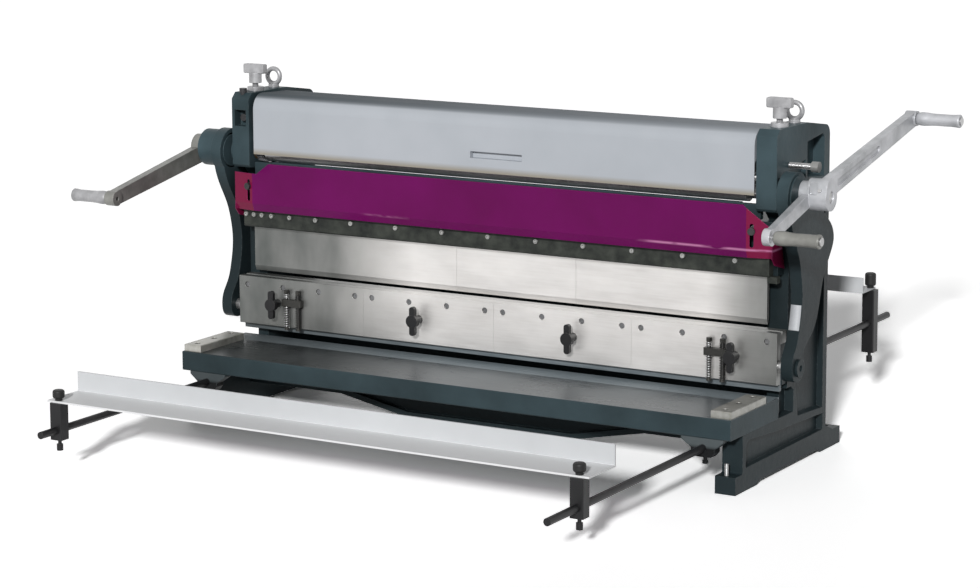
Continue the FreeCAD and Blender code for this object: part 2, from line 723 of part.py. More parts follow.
tipRight = placed(armTilt, longRight, armRise)
tipLeft = placed(180 + leftTilt, longLeft, leftRise)
tipShort = placed(shortTilt, -shortArm, 0)


# grip turned on a plain spindle; side is +1 or -1 along X
def gripSet(x0, y, z, side, long):
    ringX = x0 + side * 1.0
    far = ringX + side * long
    lo, hi = min(ringX, far), max(ringX, far)
    profile = [(0.0, gripR - 1.5), (0.04, gripR), (0.3, gripR + 0.3), (0.7, gripR - 0.4), (0.9, gripR + 0.2),
               (0.96, gripR + 0.9), (0.985, gripR + 0.8), (1.0, gripR - 0.6)]
    points = [vec(ringX + side * long * t, y + r, z) for t, r in profile]
    curve = Part.BSplineCurve()
    curve.interpolate(points)
    edge = curve.toShape()
    first = Part.LineSegment(vec(ringX, y, z), points[0]).toShape()
    last = Part.LineSegment(points[-1], vec(far, y, z)).toShape()
    axis = Part.LineSegment(vec(far, y, z), vec(ringX, y, z)).toShape()
    grip = Part.Face(Part.Wire([first, edge, last, axis])).revolve(vec(ringX, y, z), vec(1, 0, 0), 360)
    grip = grip.cut(cylX(lo - 1, hi + 1, y, z, spindleR + runClear))
    capLo = min(far + side * 0.4, far + side * 3.4)
    inner = x0 - side * 15.0
    pinLo, pinHi = min(inner, far + side * 3), max(inner, far + side * 3)
    spindle = joined([cylX(pinLo, pinHi, y, z, spindleR), cylX(capLo, capLo + 3, y, z, 9.0)])
    return grip, spindle


gripRight, spindleRight = gripSet(armR1 + 3, tipRight[0], tipRight[1], 1, gripLong)
gripLeft, spindleLeft = gripSet(-leftOuter - 3, tipLeft[0], tipLeft[1], -1, gripLong - 4)
gripShort, spindleShort = gripSet(shortX1 + 6, tipShort[0], tipShort[1], 1, gripLong)
parts["grip_right"] = gripRight
parts["grip_left"] = gripLeft
parts["grip_short"] = gripShort
setRight = turnedX(cylZ(shaftZ + stubR, shaftZ + hubR + 4, armR0 + 4, shaftY, 4.0), shaftY, shaftZ, 58.0)
setLeft = turnedX(cylZ(shaftZ - hubR - 4, shaftZ - stubR, -leftOuter + 8, shaftY, 4.0), shaftY, shaftZ, -62.0)
parts["crank_right"] = parts["crank_right"].cut(setRight)
parts["crank_left"] = parts["crank_left"].cut(setLeft)
parts["crank_spindles"] = group([spindleLeft, spindleRight, spindleShort, setRight, setLeft])


# gears, rear roll and upper roll
# straight-flank gear with trapezoid teeth, backlash taken off each side
def gear(y, z, x0, x1, bore, phase):
    pitch = gearTeeth * gearModule / 2
    root = pitch - 1.25 * gearModule
    tipR = pitch + 0.9 * gearModule
    step = 360.0 / gearTeeth
    half = step / 4 - math.degrees(gearBack / pitch)
    points = []
    for k in range(gearTeeth):
        a = phase + k * step
        for radius, angle in ((root, -half * 1.72), (tipR, -half * 0.46), (tipR, half * 0.46), (root, half * 1.72)):
            t = math.radians(a + angle)
            points.append((y + radius * math.cos(t), z + radius * math.sin(t)))
    return prismX(points, x0, x1).cut(cylX(x0 - 1, x1 + 1, y, z, bore))


gx0 = -gearOuter
gx1 = -gearOuter + gearWide
lineAngle = math.degrees(math.atan2(idlerZ - shaftZ, upperY - shaftY))
step = 360.0 / gearTeeth
# the idler has a tooth on one line of centres; the other line then sets the rear gear
frontPhase = lineAngle
idlerPhase = lineAngle + 180 + step / 2
rearLine = math.degrees(math.atan2(idlerZ - shaftZ, upperY - rearRollY))
offset = ((rearLine + 180) - idlerPhase) % step
rearPhase = rearLine + step / 2 + offset
parts["front_gear"] = gear(shaftY, shaftZ, gx0, gx1, journalR, frontPhase)
parts["rear_gear"] = gear(rearRollY, shaftZ, gx0, gx1, journalR, rearPhase)
parts["idler_gear"] = gear(upperY, idlerZ, gx0, gx1, 6.0 + runClear, idlerPhase)
parts["idler_stud"] = joined([cylX(-frameInner - 20, gx1 + 0.4, upperY, idlerZ, 6.0),
                              cylX(gx1 + 0.4, gx1 + 4, upperY, idlerZ, 10.0),
                              cylX(-frameInner, gx0 - 0.4, upperY, idlerZ, 10.0)])
parts["rear_roll"] = joined([cylX(-rollHalf, rollHalf, rearRollY, shaftZ, rollR),
                             cylX(-frameInner - 28, frameInner + 28, rearRollY, shaftZ, journalR)])
upJournal = 12.0
parts["upper_roll"] = joined([cylX(-rollHalf, rollHalf, upperY, upperZ, rollR),
                              cylX(-frameInner - blockDeep + 4, frameInner + blockDeep - 4,
                                   upperY, upperZ, upJournal)])
blockX0 = frameInner - 4
bearing = box(blockX0, frameInner + blockDeep - 1, upperY - blockWide / 2, upperY + blockWide / 2,
              upperZ - blockTall / 2, upperZ + blockTall / 2)
bearing = bearing.cut(cylX(blockX0 - 1, frameInner + blockDeep, upperY, upperZ, upJournal + runClear))
bearing = bearing.cut(cylZ(upperZ + blockTall / 2 - stemSeat, upperZ + blockTall / 2 + 1,
                           handScrewX, upperY, handScrewR + 0.1))
parts["bearing_blocks"] = group([flip(bearing), bearing])

# T hand screws over the heads
for name, side in (("hand_screw_left", -1), ("hand_screw_right", 1)):
    x = side * handScrewX
    stem = cylZ(upperZ + blockTall / 2 - stemSeat + 0.2, headTop + 38, x, upperY, handScrewR)
    collarZ = headTop + 18
    neck = cylZ(collarZ, collarZ + 24, x, upperY, 15.0)
    bar = rounded(box(x - 28.5, x + 28.5, upperY - 9, upperY + 9, collarZ + 22, collarZ + 44), 4.0, alongY)
    bar = chamfered(bar, 1.6, lambda e: (
        abs(e.BoundBox.YMax - (upperY - 9)) < 1e-6 or abs(e.BoundBox.YMin - (upperY + 9)) < 1e-6))
    parts[name] = joined([stem, neck, bar])
headNuts = []
for side in (-1, 1):
    x = side * handScrewX
    nut = cylZ(headTop - 1.5, headTop + 9, x, upperY, 19.0)
    headNuts.append(nut.cut(cylZ(headTop - 4, headTop + 10, x, upperY, handScrewR + 0.12)))
parts["hand_screw_nuts"] = group(headNuts)
for side, name in ((-1, "side_frame_left"), (1, "side_frame_right")):
    pocket = cylZ(headTop - 1.5, headTop + 9, side * handScrewX, upperY, 19.0)
    parts[name] = parts[name].cut(pocket)

# lifting eyes
eyes = []
for side in (-1, 1):
    x = side * handScrewX
    ringShape = Part.makeTorus(17.5, 5.5, vec(x, 55.0, headTop + 26), vec(0, 1, 0))
    topZ = headTop - 1.2
    eyes.append(joined([ringShape, cylZ(topZ, topZ + 8, x, 55.0, 12.5),
                        cylZ(headTop - 28, topZ + 12, x, 55.0, 6.0)]))
parts["lifting_eyes"] = group(eyes)
for side, name in ((-1, "side_frame_left"), (1, "side_frame_right")):
    pocket = cylZ(headTop - 1.2, headTop + 9, side * handScrewX, 55.0, 12.5)
    parts[name] = parts[name].cut(pocket)

# release bolt in the left head, cap screw over it, and the lock screw on the right
frameScrews.append(joined([hexY(boltX, boltZ, headFront + 13, headFront + 25, 9.5),
                           cylY(headFront + 24, headFront + 38, boltX, boltZ, 5.0)]))
frameScrews.append(joined([cylZ(headTop, headTop + 10, boltX, topScrewY, 9.0),
                           cylZ(headTop - 26, headTop + 1, boltX, topScrewY, 6.0)]))
lockEnd = frameOuter + lockReach
frameScrews.append(joined([cylX(frameOuter - 14, lockEnd, lockY, lockZ, 6.0),
                           cylX(lockEnd - 4, lockEnd + 12, lockY, lockZ, 11.5)]))
parts["frame_screws"] = group(frameScrews)

# roll cover
topBack = coverRear
slope = (coverTop - coverBack) / (topBack - coverFront)


# height of the cover's skin over a place, less so much
def roof(y, under=0.0):
    return coverTop - slope * (y - coverFront) - under


def hood(front, low, back, under, radius):
    body = prismX([(front, low), (front, roof(front, under)), (back, roof(back, under)), (back, low)],
                  -coverHalf, coverHalf)
    return rounded(body, radius, lambda e: (
        alongX(e) and e.BoundBox.ZMin > coverTop - 5 and e.BoundBox.YMax < front + 1))


solidHood = hood(coverFront, coverLow, topBack, 0.0, coverRound)
cover = solidHood.cut(hood(coverFront + sheet, coverLow - 1, topBack + 1, sheet, coverRound - sheet))
endCap = prismX([(coverFront - 1, coverTop - 78), (coverFront - 1, coverTop + 5), (topBack - 6, coverTop + 5),
                 (topBack - 6, coverBack - 20), (coverFront + 48, coverTop - 24)], coverHalf - sheet, coverHalf)
endCap = endCap.common(solidHood)
lip = box(-coverHalf, coverHalf, coverFront, coverFront + 6, coverLow, coverLow + sheet)
cover = joined([cover, endCap, flip(endCap), lip])
slotMid = 12.0
cover = cover.cut(box(slotMid - 66, slotMid + 66, coverFront - 1, coverFront + 3, 630, 645))
cup = box(slotMid - 69, slotMid + 69, coverFront + sheet, coverFront + 16, 627, 648)
cup = cup.cut(box(slotMid - 66, slotMid + 66, coverFront, coverFront + 14.4, 630, 645))
hingeR = 4.5
hingeY = topBack - 2
hingeZ = coverBack - sheet - hingeR - 0.4
knuckles = []
barrels = []
for x in (-480, 0, 480):
    middle = cylX(x - 20, x + 20, hingeY, hingeZ, hingeR).cut(cylX(x - 21, x + 21, hingeY, hingeZ, 2.1))
    leafEdge = ((topBack - 24, -0.2), (hingeY, -0.2), (hingeY, 1.6), (topBack - 24, 1.6))
    leaf = prismX([(y, roof(y, sheet + under)) for y, under in leafEdge],
                  x - 20, x + 20)
    leaf = leaf.cut(cylX(x - 21, x + 21, hingeY, hingeZ, 2.6))
    knuckles.append(joined([middle, leaf]))
    for dx in (-31, 31):
        a = x + dx
        knuckle = cylX(a - 10.5, a + 10.5, hingeY, hingeZ, hingeR).cut(cylX(a - 12, a + 12, hingeY, hingeZ, 2.0))
        stem = box(a - 10.5, a + 10.5, hingeY - 1, hingeY + 1, hingeZ - 36, hingeZ)
        barrels.append(joined([knuckle, stem.cut(cylX(a - 12, a + 12, hingeY, hingeZ, 2.6))]))
    barrels.append(cylX(x - 41.5, x + 41.5, hingeY, hingeZ, 2.0))
parts["roll_cover"] = joined([cover, cup] + knuckles)
backRail = box(-frameInner, frameInner, hingeY + 1, hingeY + 9, hingeZ - 46, hingeZ - 12)
parts["cover_hinge_knuckles"] = group(barrels)

# guard
guardBack = guardFront + sheet
foldZ = guardLow + guardFold
foldIn = guardFold * math.tan(math.radians(20))
foldProfile = [(guardFront + foldIn, guardLow), (guardFront, foldZ), (guardFront, guardTop),
               (guardBack, guardTop), (guardBack, foldZ), (guardBack + foldIn, guardLow)]
cornerLeft = bendX - 46.0
cornerRight = bendX - 8.0
wingTopLeft = 555.0
wingTopRight = 530.0
bendTopRight = guardTop - (guardTop - wingTopRight) * (bendX - cornerRight) / (bendX + wingLong - cornerRight)
front = prismX(foldProfile, -bendX, bendX).common(prismY([
    (-bendX, guardLow), (-bendX, wingTopLeft), (-cornerLeft - 34, wingTopLeft), (-cornerLeft, guardTop),
    (cornerRight, guardTop), (bendX, bendTopRight), (bendX, guardLow)], guardFront - 1, guardBack + foldIn + 1))
slot = joined([box(slotX - 4.6, slotX + 4.6, guardFront - 1, guardBack + 1, slotLow + 4.6, slotHigh - 4.6),
               cylY(guardFront - 1, guardBack + 1, slotX, slotLow + 4.6, 4.6),
               cylY(guardFront - 1, guardBack + 1, slotX, slotHigh - 4.6, 4.6)])
wingEnd = bendX + wingLong * math.cos(math.radians(wingBend))
wingEndY = guardFront + wingLong * math.sin(math.radians(wingBend))
side = prismX([(wingEndY, guardLow), (wingEndY, 522), (wingEndY + 16, 506), (guardFront + 58, 496),
               (guardFront + 74, 438), (guardFront + 24, 452)], wingEnd - sheet, wingEnd)


def wing(topIn, topOut):
    blank = prismX(foldProfile, bendX, bendX + wingLong).common(prismY([
        (bendX, guardLow), (bendX, topIn), (bendX + wingLong, topOut), (bendX + wingLong, guardLow)],
        guardFront - 1, guardBack + foldIn + 1))
    return joined([bent(blank.cut(slot)), side])


guard = joined([front, wing(bendTopRight, wingTopRight), flip(wing(wingTopLeft, wingTopLeft)),
                box(-cornerLeft, cornerRight, guardFront, guardFront + 8, guardTop - sheet, guardTop)])
parts["guard"] = guard
guardScrew = bent(joined([cylY(guardFront - 6.3, guardFront - 0.3, slotX, guardScrewZ, 8.0),
                          cylY(guardFront - 1, guardFront + 76, slotX, guardScrewZ, 3.9)]))
spacer = bent(cylY(guardBack + 0.3, guardFront + 70, slotX, guardScrewZ, 9.0).cut(
    cylY(guardFront, guardFront + 80, slotX, guardScrewZ, 4.0)))
spacer = spacer.cut(box(slotX - 60, slotX + 40, beamFront - 11, beamFront + 40,
                        guardScrewZ - 20, guardScrewZ + 20))
parts["guard_mountings"] = group([guardScrew, flip(guardScrew), spacer, flip(spacer)])

# rear tie beam
tieY0 = 96.0
tieShelf = 188.0
tie = joined([box(-frameInner, frameInner, tieY0, tieY0 + 12, 120, 300),
              box(-frameInner, frameInner, tieY0, tieY0 + 46, tieShelf - 12, tieShelf)])
parts["rear_cross_members"] = group([tie, backRail])


# stop angles on rods
rodFrontEnds = {-1: frontPostY - 64.0, 1: frontPostY - 127.0}
rodRearEnd = rearPostY + 104.0
rearClampHalf = 24.0
rearClampTop = rearRodZ + 19
rodClamps = []
setScrews = []
rods = []
for sx in (-1, 1):
    x = sx * rodX
    mid = clampY0 + clampLong / 2
    # block flared at the top, where two bolts hold it under the table
    flare = [(-50, armTop), (-50, armTop - flangeThick), (-27, 98), (-27, 90), (-19, 80), (19, 80), (27, 90),
             (27, 98), (46, armTop - flangeThick), (46, armTop)]
    block = prismY([(x + sx * dx, z) for dx, z in flare], clampY0, clampY0 + clampLong)
    block = block.cut(cylY(clampY0 - 1, clampY0 + clampLong + 1, x, frontRodZ, rodR))
    setScrews.append(joined([cylZ(64, frontRodZ - rodR, x, mid, 4.0), hexZ(x, mid, 64, 71, 7.0)]))
    rodClamps.append(block.cut(cylZ(60, frontRodZ, x, mid, 4.0)))
    rods.append(cylY(rodFrontEnds[sx], clampY0 + clampLong + 4, x, frontRodZ, rodR))
    xr = sx * rearRodX
    mid = tieY0 + 29
    setScrews.append(joined([cylZ(rearRodZ + rodR, rearClampTop + 8, xr, mid, 4.0),
                             hexZ(xr, mid, rearClampTop + 2, rearClampTop + 10, 7.0)]))
    block = box(xr - rearClampHalf, xr + rearClampHalf, tieY0 + 12, tieY0 + 46, tieShelf, rearClampTop)
    block = block.cut(cylY(tieY0 + 11, tieY0 + 47, xr, rearRodZ, rodR))
    rodClamps.append(block.cut(cylZ(rearRodZ, rearClampTop + 6, xr, mid, 4.0)))
    rods.append(cylY(tieY0 + 12, rodRearEnd, xr, rearRodZ, rodR))
rodClamps = [cut(block, clampBolts) for block in rodClamps]
parts["rod_clamps"] = group(rodClamps + setScrews + clampBolts)
parts["stop_rods"] = group(rods)

shelfThick = 4.0
upright = 42.0


# angle with a face toward the machine and a shelf away from it
def angle(half, yFace, zShelf, outward, shelfLong, faceTall):
    yFar = yFace + outward * shelfLong
    lo, hi = min(yFace, yFar), max(yFace, yFar)
    wall0, wall1 = min(yFace, yFace + outward * shelfThick), max(yFace, yFace + outward * shelfThick)
    return joined([box(-half, half, lo, hi, zShelf - shelfThick, zShelf),
                   box(-half, half, wall0, wall1, zShelf - shelfThick, zShelf + faceTall)])


# post that hangs from the shelf and slides on the rod, with its foot screw
def post(x, y, rodZ, zShelf, low):
    block = box(x - postHalf, x + postHalf, y - postDeep, y + postDeep, low, zShelf - shelfThick)
    block = chamfered(block, 2.0, alongZ)
    block = cut(block, [cylY(y - postDeep - 1, y + postDeep + 1, x, rodZ, rodR + 0.1),
                        cylZ(zShelf - 30, zShelf, x, y, 4.12), cylZ(low - 1, low + 8, x, y, 4.0)])
    foot = joined([cylZ(low - 16, low + 8, x, y, 4.0), cylZ(low - 24, low - 10, x, y, 7.0)])
    return [block, foot]


rearShelfZ = rearTop - rearUpright
frontAngle = angle(stopHalf, frontStopY, frontShelf, -1, frontReach + postLip, upright)
rearAngle = angle(rearStopHalf, rearStopY, rearShelfZ, 1, rearReach + 17.0, rearUpright)
frontPosts = []
rearPosts = []
for sx in (-1, 1):
    x = sx * rodX
    frontAngle = frontAngle.cut(cylZ(frontShelf - 10, frontShelf + 1, x, frontPostY, 4.3))
    frontPosts += post(x, frontPostY, frontRodZ, frontShelf, 78.0)
    xr = sx * rearRodX
    rearAngle = rearAngle.cut(cylZ(rearShelfZ - 10, rearShelfZ + 1, xr, rearPostY, 4.3))
    rearPosts += post(xr, rearPostY, rearRodZ, rearShelfZ, 136.0)
parts["front_stop_angle"] = frontAngle
parts["rear_stop_angle"] = rearAngle
parts["front_stop_posts"] = group(frontPosts)
parts["rear_stop_posts"] = group(rearPosts)


# rounded hand knob on a stud
def knob(x, y, zSeat, radius, tall, down):
    body = cylZ(zSeat + 5, zSeat + 5 + tall, x, y, radius)
    body = rounded(body, 5.5, lambda e: e.BoundBox.ZLength < 1e-6)
    return joined([body, cylZ(zSeat + 0.3, zSeat + 7, x, y, 8.0), cylZ(zSeat - down, zSeat + 6, x, y, 4.0)])


parts["front_knob_left"] = knob(-rodX, frontPostY, frontShelf, 13.0, 19.0, 26.0)
parts["front_knob_right"] = knob(rodX, frontPostY, frontShelf, 13.0, 19.0, 26.0)
parts["rear_knob_left"] = knob(-rearRodX, rearPostY, rearShelfZ, 13.0, 31.0, 26.0)
parts["rear_knob_right"] = knob(rearRodX, rearPostY, rearShelfZ, 13.0, 31.0, 26.0)

for name, shape in parts.items():
    if not shape.isValid():
        print("invalid", name)
    shape.exportStep("parts/%s.step" % name)
print("grip axes y z", tipLeft, tipRight, tipShort)
print("cover hinge y z", hingeY, hingeZ)
print("solids", sum(len(shape.Solids) for shape in parts.values()))
print(len(parts), "nodes written")
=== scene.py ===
import math
import bpy
import numpy as np
from mathutils import Matrix


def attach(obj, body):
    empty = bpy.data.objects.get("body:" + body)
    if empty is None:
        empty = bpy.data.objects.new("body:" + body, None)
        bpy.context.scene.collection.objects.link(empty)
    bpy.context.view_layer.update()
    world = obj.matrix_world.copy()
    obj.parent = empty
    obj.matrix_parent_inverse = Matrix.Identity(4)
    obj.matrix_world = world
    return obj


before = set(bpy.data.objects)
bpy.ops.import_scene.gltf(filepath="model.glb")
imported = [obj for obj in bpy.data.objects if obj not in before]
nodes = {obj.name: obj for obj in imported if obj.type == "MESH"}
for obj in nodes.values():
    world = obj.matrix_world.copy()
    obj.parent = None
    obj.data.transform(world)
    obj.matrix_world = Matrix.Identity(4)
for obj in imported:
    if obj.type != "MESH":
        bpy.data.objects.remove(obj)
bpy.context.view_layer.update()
scene = bpy.context.scene
print("frame loaded:", len(nodes), "nodes")

# the place and the clipping in metres, angles in degrees, the lens and the sensor in millimetres
camera = {
    "place": (3.14474, -5.43071, 1.52264),
    "azimuth": 30.449,
    "down": 8.998,
    "roll": -0.186,
    "lens": 104.22,
    "sensor": 36.0,
    "shiftY": -0.0959,
    "near": 0.1,
    "far": 200.0,
}
cameraData = bpy.data.cameras.new("camera")
cameraData.lens = camera["lens"]
cameraData.sensor_width = camera["sensor"]
cameraData.shift_y = camera["shiftY"]
cameraData.clip_start = camera["near"]
cameraData.clip_end = camera["far"]
cameraObject = bpy.data.objects.new("camera", cameraData)
scene.collection.objects.link(cameraObject)
cameraObject.matrix_world = (Matrix.Translation(camera["place"])
                             @ Matrix.Rotation(math.radians(camera["azimuth"]), 4, "Z")
                             @ Matrix.Rotation(math.radians(90.0 - camera["down"]), 4, "X")
                             @ Matrix.Rotation(math.radians(camera["roll"]), 4, "Z"))
scene.camera = cameraObject
print("camera placed")


# a screen colour from 0 to 255 as the linear light that Blender counts in
def screen(*levels):
    shares = np.array(levels, float) / 255.0
    linear = np.where(shares < 0.04045, shares / 12.92, ((shares + 0.055) / 1.055) ** 2.4)
    return tuple(float(level) for level in linear)


# a value on its way through a material; sums, products and comparisons of it add Math nodes
class Value:
    def __init__(self, graph, socket):
        self.graph = graph
        self.socket = socket

    def maths(self, operation, first, second):
        return self.graph.maths(operation, first, second)

    def __add__(self, other):
        return self.maths("ADD", self, other)

    def __radd__(self, other):
        return self.maths("ADD", other, self)

    def __sub__(self, other):
        return self.maths("SUBTRACT", self, other)

    def __rsub__(self, other):
        return self.maths("SUBTRACT", other, self)

    def __mul__(self, other):
        return self.maths("MULTIPLY", self, other)

    def __rmul__(self, other):
        return self.maths("MULTIPLY", other, self)

    def __gt__(self, other):
        return self.maths("GREATER_THAN", self, other)

    def __lt__(self, other):
        return self.maths("LESS_THAN", self, other)

    def __or__(self, other):
        return self.maths("MAXIMUM", self, other)


# a node tree, of a material or of the world
class Graph:
    def __init__(self, tree):
        self.tree = tree

    # settings first, then the sockets' numbers or links
    def node(self, kind, settings=None, sockets=None, out=0):
        made = self.tree.nodes.new(kind)
        for key, value in (settings or {}).items():
            if key == "stops":
                self.spread(made.color_ramp, value)
            else:
                setattr(made, key, value)
        for key, value in (sockets or {}).items():
            self.feed(made.inputs[key], value)
        return Value(self, made.outputs[out])

    def maths(self, operation, first, second=0.0):
        return self.node("ShaderNodeMath", {"operation": operation}, {0: first, 1: second})

    def feed(self, socket, value):
        if isinstance(value, Value):
            self.tree.links.new(value.socket, socket)
        else:
            socket.default_value = value

    def spread(self, ramp, stops):
        while len(ramp.elements) < len(stops):
            ramp.elements.new(0.5)
        for element, (position, level) in zip(ramp.elements, stops):
            element.position = position
            element.color = (level, level, level, 1.0)

    # 1 for what the eye, a mirror or a glass sees, 0 for the light that falls on things
    def seen(self):
        kinds = ("Is Camera Ray", "Is Glossy Ray", "Is Transmission Ray")
        eye, mirror, glass = [self.node("ShaderNodeLightPath", out=kind) for kind in kinds]
        return eye | mirror | glass

    # the Mix node's colours are its sockets 6 and 7
    def blend(self, factor, first, second):
        first = first if isinstance(first, Value) else (*first, 1.0)
        second = second if isinstance(second, Value) else (*second, 1.0)
        return self.node("ShaderNodeMix", {"data_type": "RGBA"}, {0: factor, 6: first, 7: second}, out=2)

    # the Mix node's vectors are its sockets 4 and 5
    def blendNormals(self, factor, first, second):
        sockets = {0: factor, 4: first, 5: second}
        return self.node("ShaderNodeMix", {"data_type": "VECTOR"}, sockets, out=1)


# noises that the finishes share: lumps to the metre (the look's own where none are given), detail,
# stretch along the axes, shift, and the stops that part a noise into patches
noises = {
    "castCloud": {"detail": 4.0, "stops": ((0.3, 0.0), (0.7, 1.0))},
    "castGrain": {"detail": 2.0},
    "castLumps": {},
    "chips": {"scale": 130.0, "stops": ((0.42, 0.0), (0.62, 1.0))},
    "sheetCloud": {"scale": 5.0, "stops": ((0.25, 0.0), (0.75, 1.0))},
    "sheetHaze": {"scale": 60.0},
    "sheetRipple": {"scale": 9.0, "detail": 2.0},
    "orangePeel": {"scale": 700.0, "detail": 1.0},
    # the speckle that breaks up the painted highlight along the guard's fold
    "foldGlint": {"scale": 40.0, "stretch": (0.3, 1.0, 1.0), "stops": ((0.40, 0.0), (0.55, 1.0))},
    "metalLines": {"detail": 4.0},
    "metalCloud": {"scale": 4.5, "detail": 4.0, "stretch": (1.0, 2.0, 2.0),
                   "stops": ((0.3, 0.0), (0.72, 1.0))},
    # the patches of the painted dark reflection on machined metal
    "darkReflection": {"scale": 11.0, "stretch": (1.0, 0.5, 0.5), "shift": 3.0, "stops": ((0.2, 0.75), (0.7, 1.0))},
    "dust": {"scale": 3.0},
}
noiseDetail = 3.0
noiseRoughness = 0.55
lineStops = ((0.35, 0.0), (0.65, 1.0))

# rounded look of the edges: samples, and the stops that turn the bent normal into an edge mask, which
# gives chipped wear on castings, a painted highlight on sheets and a lighter edge on machined metal
edges = {"samples": 6, "stops": ((0.72, 1.0), (0.97, 0.0))}

# how far each bump rises in metres, and the strengths that no look sets
relief = {
    "castGrain": 0.0005,
    "castLumps": 0.002,
    "thread": 0.0006,
    "threadStrength": 0.9,
    "peel": 0.0004,
    "peelStrength": 0.06,
    "ripple": 0.004,
    "lines": 0.0003,
}

# how much the patterns sway the roughness and the tone
sway = {
    "castRough": 0.25,
    "sheetRough": 0.12,
    "roofRough": 0.5,
    "hem": 0.8,
    "metalRough": 0.3,
    "metalLines": 0.25,
    "metalEdgeTone": 0.4,
}
lengthSpan = 1.6  # metres along the machine that a ramp from 0 to 1 covers


# one material, with its patterns laid out in metres on the object's own coordinates
class Finish(Graph):
    def __init__(self, name):
        self.material = bpy.data.materials.new(name)
        self.material.use_nodes = True
        Graph.__init__(self, self.material.node_tree)
        self.shader = self.tree.nodes["Principled BSDF"]
        self.place = self.node("ShaderNodeTexCoord", out="Object")
        self.places = {}

    # one coordinate of the place on the machine
    def axis(self, letter):
        if letter not in self.places:
            split = self.node("ShaderNodeSeparateXYZ", None, {"Vector": self.place}, out=letter)
            self.places[letter] = split
        return self.places[letter]

    # one of the noises above, with what the look changes in it
    def noise(self, name, **changes):
        kind = dict(noises[name], **changes)
        spot = self.node("ShaderNodeMapping", None, {
            "Vector": self.place,
            "Scale": kind.get("stretch", (1.0, 1.0, 1.0)),
            "Location": (kind.get("shift", 0.0),) * 3,
        })
        speckle = self.node("ShaderNodeTexNoise", None, {
            "Vector": spot,
            "Scale": kind["scale"],
            "Detail": kind.get("detail", noiseDetail),
            "Roughness": noiseRoughness,
        })
        return self.ramp(speckle, *kind["stops"]) if "stops" in kind else speckle

    def ramp(self, value, *stops):
        return self.node("ShaderNodeValToRGB", {"stops": stops}, {"Fac": value})

    # how strong something is along the machine's length, from pairs of metres and strength
    def along(self, *pairs):
        stops = [(x / lengthSpan + 0.5, level) for x, level in pairs]
        return self.ramp(self.axis("X") * (1 / lengthSpan) + 0.5, *stops)

    # the normal with its edges rounded, and how far it bends from the true one: 0 on flats, 1 at corners
    def corners(self, radius):
        soft = self.node("ShaderNodeBevel", {"samples": edges["samples"]}, {"Radius": radius})
        true = self.node("ShaderNodeNewGeometry", out="True Normal")
        dot = {"operation": "DOT_PRODUCT"}
        same = self.node("ShaderNodeVectorMath", dot, {0: soft, 1: true}, out="Value")
        return soft, self.ramp(same, *edges["stops"])

    def bumps(self, height, strength, distance, under):
        return self.node("ShaderNodeBump", None, {
            "Height": height, "Strength": strength, "Distance": distance, "Normal": under})

    def surface(self, **inputs):
        names = {
            "color": "Base Color",
            "rough": "Roughness",
            "metal": "Metallic",
            "normal": "Normal",
            "coat": "Coat Weight",
            "coatRough": "Coat Roughness",
            "specular": "Specular IOR Level",
        }
        for key, value in inputs.items():
            if key == "color" and not isinstance(value, Value):
                value = (*value, 1.0)
            self.feed(self.shader.inputs[names[key]], value)
        return self.material


# paint over sand-cast iron: lumpy skin, fine grain and bright chips on corners; where the look says so
# it is darker low down, which is painted shade (on the rod clamps it is their own black below the
# flare), or threaded below a height by a sine wave of the pitch
def castSkin(paint, look):
    soft, roundedEdges = paint.corners(look["corner"])
    cloud = paint.noise("castCloud", scale=look["cloud"])
    grain = paint.noise("castGrain", scale=look["grain"])
    lumps = paint.noise("castLumps", scale=look["lump"])
    tone = paint.blend(cloud, look["dark"], look["light"])
    # darker low down: painted shade on the castings, the clamps' own black on the rod clamps
    if "deep" in look:
        low = paint.ramp(paint.axis("Z"), (look["deepLow"], look["depth"]), (look["deepHigh"], 0.0))
        tone = paint.blend(low, tone, look["deep"])
    tone = paint.blend(roundedEdges * paint.noise("chips") * look["wearAndHighlight"], tone, look["bare"])
    normal = paint.bumps(lumps, look["lumpStrength"], relief["castLumps"], soft)
    normal = paint.bumps(grain, look["grainStrength"], relief["castGrain"], normal)
    if "threadTop" in look:
        wave = paint.maths("SINE", paint.axis("Z") * (2 * math.pi / look["pitch"]))
        threaded = wave * (paint.axis("Z") < look["threadTop"])
        normal = paint.bumps(threaded, relief["threadStrength"], relief["thread"], normal)
    return tone, look["rough"] + (grain - 0.5) * sway["castRough"], normal


def castPaint(name, look):
    paint = Finish(name)
    tone, rough, normal = castSkin(paint, look)
    return paint.surface(color=tone, rough=rough, normal=normal, specular=look["specular"],
                         metal=look.get("metal", 0.0))
